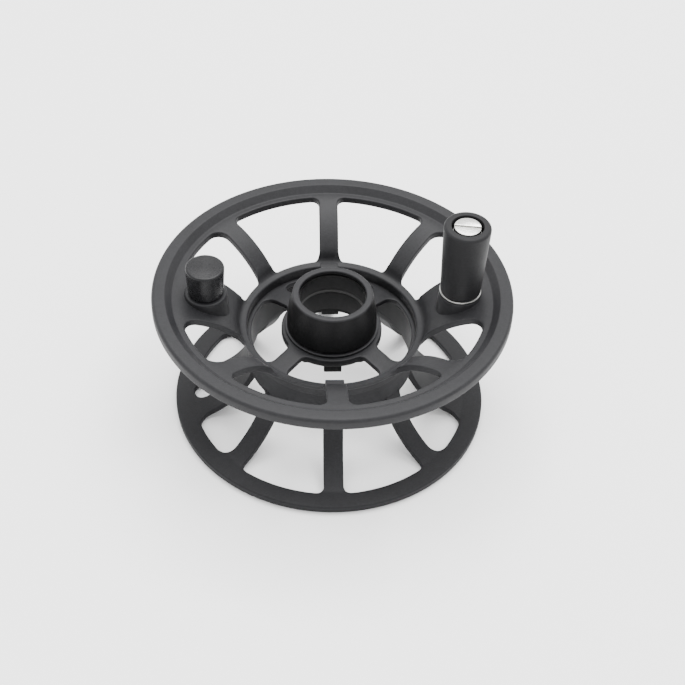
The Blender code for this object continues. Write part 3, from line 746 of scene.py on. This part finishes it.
def make_back_flange(finish):
    """The plate is thin between the bars beside the drum, where only a narrow ring is left."""
    radius = upright("back_flange")[1]
    outer = BACK_PLATE[1]
    over = profile_height(section_arc(BACK_OVER, *BACK_OVER_REACH) + [*BACK_HEAD, BACK_RING_EDGE])
    dish_under = profile_height(section_arc(BACK_UNDER, *BACK_UNDER_REACH) + [*BACK_UNDER_ENDS])

    def under(x, y):
        height = dish_under(x, y)
        lift = np.clip(gap_to_bar(x, y) / BACK_INNER_FILLET, 0.0, 1.0) * (np.hypot(x, y) < BACK_LIFT_END)
        lifted = np.minimum(BACK_LIFT_HEIGHT, over(x, y) - BACK_LEAST_THICKNESS)
        return height + np.maximum(lifted - height, 0.0) * lift

    rim = rounded([(outer, float(over(outer, 0.0)), 0.0), (radius, BACK_THICKNESS, BACK_RIM_ROUND),
                   (radius, 0.0, BACK_RIM_ROUND), (outer, 0.0, 0.0)])[1:-1]
    outlines = flange_windows(BACK_WINDOW, BACK_INNER_FILLET)
    for side in (DRIVER_HOLE_REACH, -DRIVER_HOLE_REACH):
        outlines.append(arc((side, 0.0), DRIVER_HOLE_RADIUS, 0.0, 360.0, HOLE_STEPS)[:-1])
    body = plate(over, under, BACK_PLATE, ([], rim), outlines, BACK_EDGE, extra_radii=BACK_HEAD_RINGS)
    build("back_flange", [body], finish)


def make_spider(finish):
    reach = (SPIDER_PLATE[0], SPIDER_PLATE[1] + SEAM_COVER)
    arm = (SPIDER_ARM_HALF_WIDTH, SPIDER_FILLET, SPIDER_FILLET)
    pitch = 360.0 / SPIDER_ARM_COUNT
    outlines = []
    for index in range(SPIDER_ARM_COUNT):
        bars = [(index * pitch + turn, *arm) for turn in (-pitch / 2.0, pitch / 2.0)]
        outlines.append(window_outline(bars, *SPIDER_WINDOW))
    body = plate(profile_height(SPIDER_TOP), profile_height(SPIDER_UNDER), reach, ([], []), outlines,
                 SPIDER_EDGE, extra_radii=(SPIDER_RING,))
    build("hub_spider", [body], finish)


def drill(piece, inner, outer):
    """Cut the tie hole through the arbor's wall, between two distances from the axis."""
    points, faces = turned([(0.0, outer), (TIE_HOLE_RADIUS, outer), (TIE_HOLE_RADIUS, inner),
                            (0.0, inner)], steps=DRILL_STEPS)
    mesh = bpy.data.meshes.new("drill")
    mesh.from_pydata([tuple(Vector(point) * MM) for point in points], [], faces)
    cutter = bpy.data.objects.new("drill", mesh)
    bpy.context.scene.collection.objects.link(cutter)
    cutter.rotation_euler = (math.pi / 2.0, 0.0, math.pi - math.radians(TIE_HOLE_AZIMUTH))
    cutter.location = (0.0, 0.0, TIE_HOLE_HEIGHT * MM)
    hole = piece.modifiers.new("tie_hole", "BOOLEAN")
    hole.operation = "DIFFERENCE"
    hole.object = cutter
    hole.solver = "EXACT"
    evaluated = piece.evaluated_get(bpy.context.evaluated_depsgraph_get())
    drilled = bpy.data.meshes.new_from_object(evaluated)
    piece.modifiers.clear()
    piece.data = drilled
    smooth(drilled)
    bpy.data.objects.remove(cutter, do_unlink=True)


def make_arbor(finish):
    _, radius, bottom, top = upright("arbor")
    top += SEAM_COVER
    bottom -= SEAM_COVER
    section = [(radius, top), (radius, bottom), (ARBOR_INNER, bottom), (ARBOR_INNER, top)]
    piece = build("arbor", [turned(section, steps=ARBOR_STEPS)], finish)
    drill(piece, ARBOR_INNER - DRILL_PAST, radius + DRILL_PAST)


def make_hub(finish, top_finish):
    """A waisted tube with lugs at its foot. Its sides take a much darker tone than the flange as painted
    shade, and its rounded top edge takes a finish of its own, the flange's lighter one, as the lit top.
    """
    shoulder = HUB_TOP - HUB_TOP_ROUND
    sides = []
    for i in range(WAIST_STEPS + 1):
        height = shoulder - (shoulder - HUB_FOOT - HUB_FOOT_ROUND) * i / WAIST_STEPS
        rise = (height - HUB_FOOT) / (HUB_TOP - HUB_FOOT)
        sides.append((HUB_FOOT_RADIUS - HUB_WAIST * rise ** HUB_WAIST_POWER, height))
    section = arc((sides[0][0] - HUB_TOP_ROUND, shoulder), HUB_TOP_ROUND, 90.0, 0.0, ROUND_STEPS)[:-1]
    section += sides
    section += [(HUB_FOOT_RADIUS - HUB_FOOT_ROUND, HUB_FOOT), (HUB_TUBE_RADIUS, HUB_FOOT),
                (HUB_TUBE_RADIUS, HUB_BOTTOM), (HUB_INNER, HUB_BOTTOM), (HUB_INNER, HUB_LIP_BOTTOM),
                (HUB_LIP, HUB_LIP_BOTTOM)]
    section += arc((HUB_LIP + HUB_LIP_ROUND, HUB_TOP - HUB_LIP_ROUND), HUB_LIP_ROUND, 180.0, 90.0,
                   ROUND_STEPS)
    solids = [turned(section, steps=HUB_STEPS)]
    for index in range(LUG_COUNT):
        solids.append(block(index * 360.0 / LUG_COUNT, LUG_REACH, LUG_WIDTH, LUG_HEIGHTS, LUG_EDGE))
    piece = build("hub", solids, finish)
    # Painted shade: the sides keep the far darker hub finish, and the faces above the shoulder take the
    # flange's finish as the lit top of the same black.
    piece.data.materials.append(top_finish)
    for face in piece.data.polygons:
        if face.center.z > shoulder * MM:
            face.material_index = 1


# ---- rings, the handle and the counterweight ----

def make_ring(node_name, inner, edge, finish, steps=TURN_STEPS, longer=(0.0, 0.0)):
    """A flat ring with rounded edges, where a CAD ring lies. It may be longer below and above."""
    centre, radius, bottom, top = upright(node_name)
    bottom -= longer[0]
    top += longer[1]
    section = rounded([(radius, top, edge), (radius, bottom, edge), (inner, bottom, edge),
                       (inner, top, edge)])
    build(node_name, [turned(section, centre, steps)], finish)


def make_knob(finish):
    centre, radius, bottom, top = upright("knob")
    low, high = KNOB_BORE_HEIGHTS
    section = rounded([(KNOB_SOCKET_RADIUS, top, KNOB_MOUTH_ROUND), (radius, top, KNOB_TOP_ROUND),
                       (KNOB_FOOT_RADIUS, bottom, FOOT_ROUND), (KNOB_SOCKET_RADIUS, bottom, SOCKET_ROUND),
                       (KNOB_SOCKET_RADIUS, low, SOCKET_ROUND), (KNOB_BORE_RADIUS, low, SOCKET_ROUND),
                       (KNOB_BORE_RADIUS, high, SOCKET_ROUND), (KNOB_SOCKET_RADIUS, high, SOCKET_ROUND)])
    build("knob", [turned(section, centre)], finish, "knob_body")


def make_weight(finish):
    centre, radius, bottom, top = upright("counterweight")
    section = rounded([(0.0, top, 0.0), (radius, top, WEIGHT_TOP_ROUND),
                       (WEIGHT_FOOT_RADIUS, bottom, FOOT_ROUND), (0.0, bottom, 0.0)])
    build("counterweight", [turned(section, centre)], finish)


def half_head(centre, radius, side, bottom, top):
    """Half of a screw's head beside its slot, with a rounded upper edge."""
    levels = [(0.0, bottom), (0.0, top - HEAD_EDGE)]
    levels += [(HEAD_EDGE * (1.0 - math.cos(t)), top - HEAD_EDGE + HEAD_EDGE * math.sin(t))
               for t in (math.pi / 6.0, math.pi / 3.0, math.pi / 2.0)]
    rows = []
    points = []
    for inset, height in levels:
        wall = SLOT_WIDTH / 2.0 + inset * SLOT_EDGE_SHARE
        reach = radius - inset
        end = math.asin(wall / reach)
        rows.append(list(range(len(points), len(points) + HEAD_STEPS + 1)))
        for i in range(HEAD_STEPS + 1):
            angle = end + (math.pi - 2.0 * end) * i / HEAD_STEPS
            x, y = place(SLOT_AZIMUTH, reach * math.cos(angle), side * reach * math.sin(angle))
            points.append((centre[0] + x, centre[1] + y, height))
    faces = strips(rows)
    faces.append(rows[0])
    faces.append(rows[-1][::-1])
    return points, faces


def make_knob_screw(finish):
    """A round head cut across by a slot, as two half heads over a thin floor, on a shank."""
    centre, radius, bottom, top = upright("knob_screw")
    floor = top - SLOT_DEPTH
    section = rounded([(0.0, floor, 0.0), (radius, floor, 0.0), (radius, KNOB_HEAD_BOTTOM, SCREW_ROUND),
                       (SHANK_RADIUS, KNOB_HEAD_BOTTOM, 0.0), (SHANK_RADIUS, bottom, SCREW_ROUND),
                       (0.0, bottom, 0.0)])
    solids = [turned(section, centre)]
    for side in (-1.0, 1.0):
        solids.append(half_head(centre, radius, side, floor - HEAD_OVERLAP, top))
    build("knob_screw", solids, finish)


def make_flange_screw(node_name, finish):
    """A screw that stands head down in its seat, under a boss."""
    centre, radius, bottom, top = upright(node_name)
    section = rounded([(0.0, bottom, 0.0), (radius, bottom, FLANGE_HEAD_ROUND),
                       (radius, FLANGE_HEAD_TOP, FLANGE_HEAD_EDGE), (SHANK_RADIUS, FLANGE_HEAD_TOP, 0.0),
                       (SHANK_RADIUS, top, SCREW_ROUND), (0.0, top, 0.0)])
    build(node_name, [turned(section, centre, SCREW_STEPS)], finish)


# ---- the studio ----

def make_floor():
    bpy.ops.mesh.primitive_plane_add(size=FLOOR_SIZE, location=(0.0, 0.0, FLOOR_HEIGHT))
    floor = bpy.context.object
    floor.name = "studio_floor"
    material = bpy.data.materials.new("studio_floor")
    material.use_nodes = True
    shader = material.node_tree.nodes["Principled BSDF"]
    shader.inputs["Base Color"].default_value = (FLOOR_TONE, FLOOR_TONE, FLOOR_TONE, 1.0)
    shader.inputs["Roughness"].default_value = 0.9
    shader.inputs["Specular IOR Level"].default_value = 0.1
    floor.data.materials.append(material)


def make_softbox():
    light = bpy.data.lights.new("overhead_softbox", "AREA")
    light.shape = "RECTANGLE"
    light.size = SOFTBOX_SIZE[0]
    light.size_y = SOFTBOX_SIZE[1]
    light.energy = SOFTBOX_POWER
    lamp = bpy.data.objects.new("overhead_softbox", light)
    bpy.context.scene.collection.objects.link(lamp)
    lamp.location = SOFTBOX_PLACE
    aim = Vector(SOFTBOX_AIM) - Vector(SOFTBOX_PLACE)
    lamp.rotation_euler = aim.to_track_quat("-Z", "Y").to_euler()


def make_world():
    world = bpy.data.worlds.new("studio")
    bpy.context.scene.world = world
    world.use_nodes = True
    background = world.node_tree.nodes["Background"]
    background.inputs["Color"].default_value = (1.0, 1.0, 1.0, 1.0)
    background.inputs["Strength"].default_value = WORLD_STRENGTH


def make_camera():
    """A camera above the near side, turned a little about the spool's axis and about its own."""
    elevation = math.radians(CAMERA_ELEVATION)
    roll = math.radians(CAMERA_ROLL)
    back = Vector((0.0, -math.cos(elevation), math.sin(elevation)))
    right = Vector((1.0, 0.0, 0.0))
    up = Vector((0.0, math.sin(elevation), math.cos(elevation)))
    position = back * CAMERA_DISTANCE + right * CAMERA_SHIFT[0] + up * CAMERA_SHIFT[1]
    right_turned = right * math.cos(roll) + up * math.sin(roll)
    up_turned = -right * math.sin(roll) + up * math.cos(roll)
    matrix = Matrix((right_turned, up_turned, back)).transposed().to_4x4()
    matrix.translation = position
    data = bpy.data.cameras.new("view")
    data.lens = CAMERA_LENS
    data.sensor_width = CAMERA_SENSOR
    camera = bpy.data.objects.new("view", data)
    bpy.context.scene.collection.objects.link(camera)
    camera.matrix_world = Matrix.Rotation(math.radians(CAMERA_HEADING), 4, "Z") @ matrix
    bpy.context.scene.camera = camera


# ---- the whole ----

def make_body():
    """The flanges, the drum, the spider and the hub."""
    flange = make_finish("anodised_flange", BLACK, (0.48, 0.58), specular=0.2)
    # The back flange's tones are the front flange's black made a little darker, as painted shade from the
    # front flange above it.
    back_shade_tones = ((0.006, 0.006, 0.0067), (0.0152, 0.0152, 0.0168))
    back = make_finish("back_flange_painted_shade", back_shade_tones, (0.5, 0.6), specular=0.16)
    drum = make_finish("anodised_drum", BLACK, (0.5, 0.6), specular=0.16, turned_about=(0.0, 0.0))
    # The hub's tones are the flange's black made far darker, as painted shade on its sides.
    hub_shade_tones = ((0.004, 0.004, 0.0043), (0.0068, 0.0068, 0.0073))
    hub = make_finish("hub_painted_shade", hub_shade_tones, (0.42, 0.52), specular=0.12, turned_about=(0.0, 0.0))
    edge_tones = ((0.015, 0.015, 0.0165), (0.027, 0.027, 0.029))
    ring_edge = make_finish("ring_edge", edge_tones, (0.38, 0.48), 0.3, specular=0.25,
                            turned_about=(0.0, 0.0))
    make_front_flange(flange)
    make_back_flange(back)
    make_spider(flange)
    make_arbor(drum)
    make_hub(hub, flange)
    make_ring("hub_retaining_ring", HUB_RING_INNER, HUB_RING_EDGE, ring_edge, HUB_STEPS)


def make_fittings():
    """The handle, the counterweight, their screws and the hub's bushes."""
    knob_tones = ((0.0085, 0.0085, 0.0092), (0.013, 0.013, 0.014))
    knob = make_finish("knob_black", knob_tones, (0.47, 0.56), specular=0.14, turned_about=HANDLE)
    weight_tones = ((0.0075, 0.0075, 0.0082), (0.012, 0.012, 0.013))
    weight = make_finish("weight_black", weight_tones, (0.24, 0.32), specular=0.17, turned_about=WEIGHT)
    bright = make_finish("bright_steel", STEEL, (0.24, 0.32), 1.0, turned_about=HANDLE, turn_share=0.3)
    dull_tones = ((0.3, 0.3, 0.29), (0.42, 0.42, 0.41))
    dull = make_finish("dull_steel", dull_tones, (0.34, 0.42), 1.0, turned_about=HANDLE)
    screw_steel = make_finish("screw_steel", STEEL, (0.28, 0.36), 1.0)
    plastic_tones = ((0.009, 0.009, 0.0095), (0.014, 0.014, 0.015))
    plastic = make_finish("bearing_plastic", plastic_tones, (0.5, 0.6), specular=0.2)
    rubber = make_finish("rubber", ((0.02, 0.02, 0.02), (0.03, 0.03, 0.03)), (0.6, 0.7))
    spring = make_finish("spring_steel", ((0.01, 0.01, 0.01), (0.02, 0.02, 0.02)), (0.35, 0.45), 0.8)
    make_knob(knob)
    make_weight(weight)
    make_knob_screw(bright)
    make_ring("handle_base_washer", WASHER_INNER, WASHER_EDGE, dull)
    make_flange_screw("handle_post_screw", screw_steel)
    make_flange_screw("counterweight_screw", screw_steel)
    make_ring("hub_lower_bush", BUSH_INNER, BUSH_EDGE, plastic, longer=(0.0, 0.4))
    make_ring("hub_upper_bush", BUSH_INNER, BUSH_EDGE, plastic, longer=(0.4, 0.2))
    carried = {"handle_post": screw_steel, "knob_lower_bush": plastic, "knob_upper_bush": plastic,
               "knob_wave_washer": screw_steel, "hub_o_ring": rubber, "hub_spring_clip": spring}
    for node_name, material in carried.items():
        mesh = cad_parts[node_name].data
        mesh.materials.clear()
        mesh.materials.append(material)


def main():
    make_body()
    make_fittings()
    make_floor()
    make_world()
    make_softbox()
    make_camera()


main()
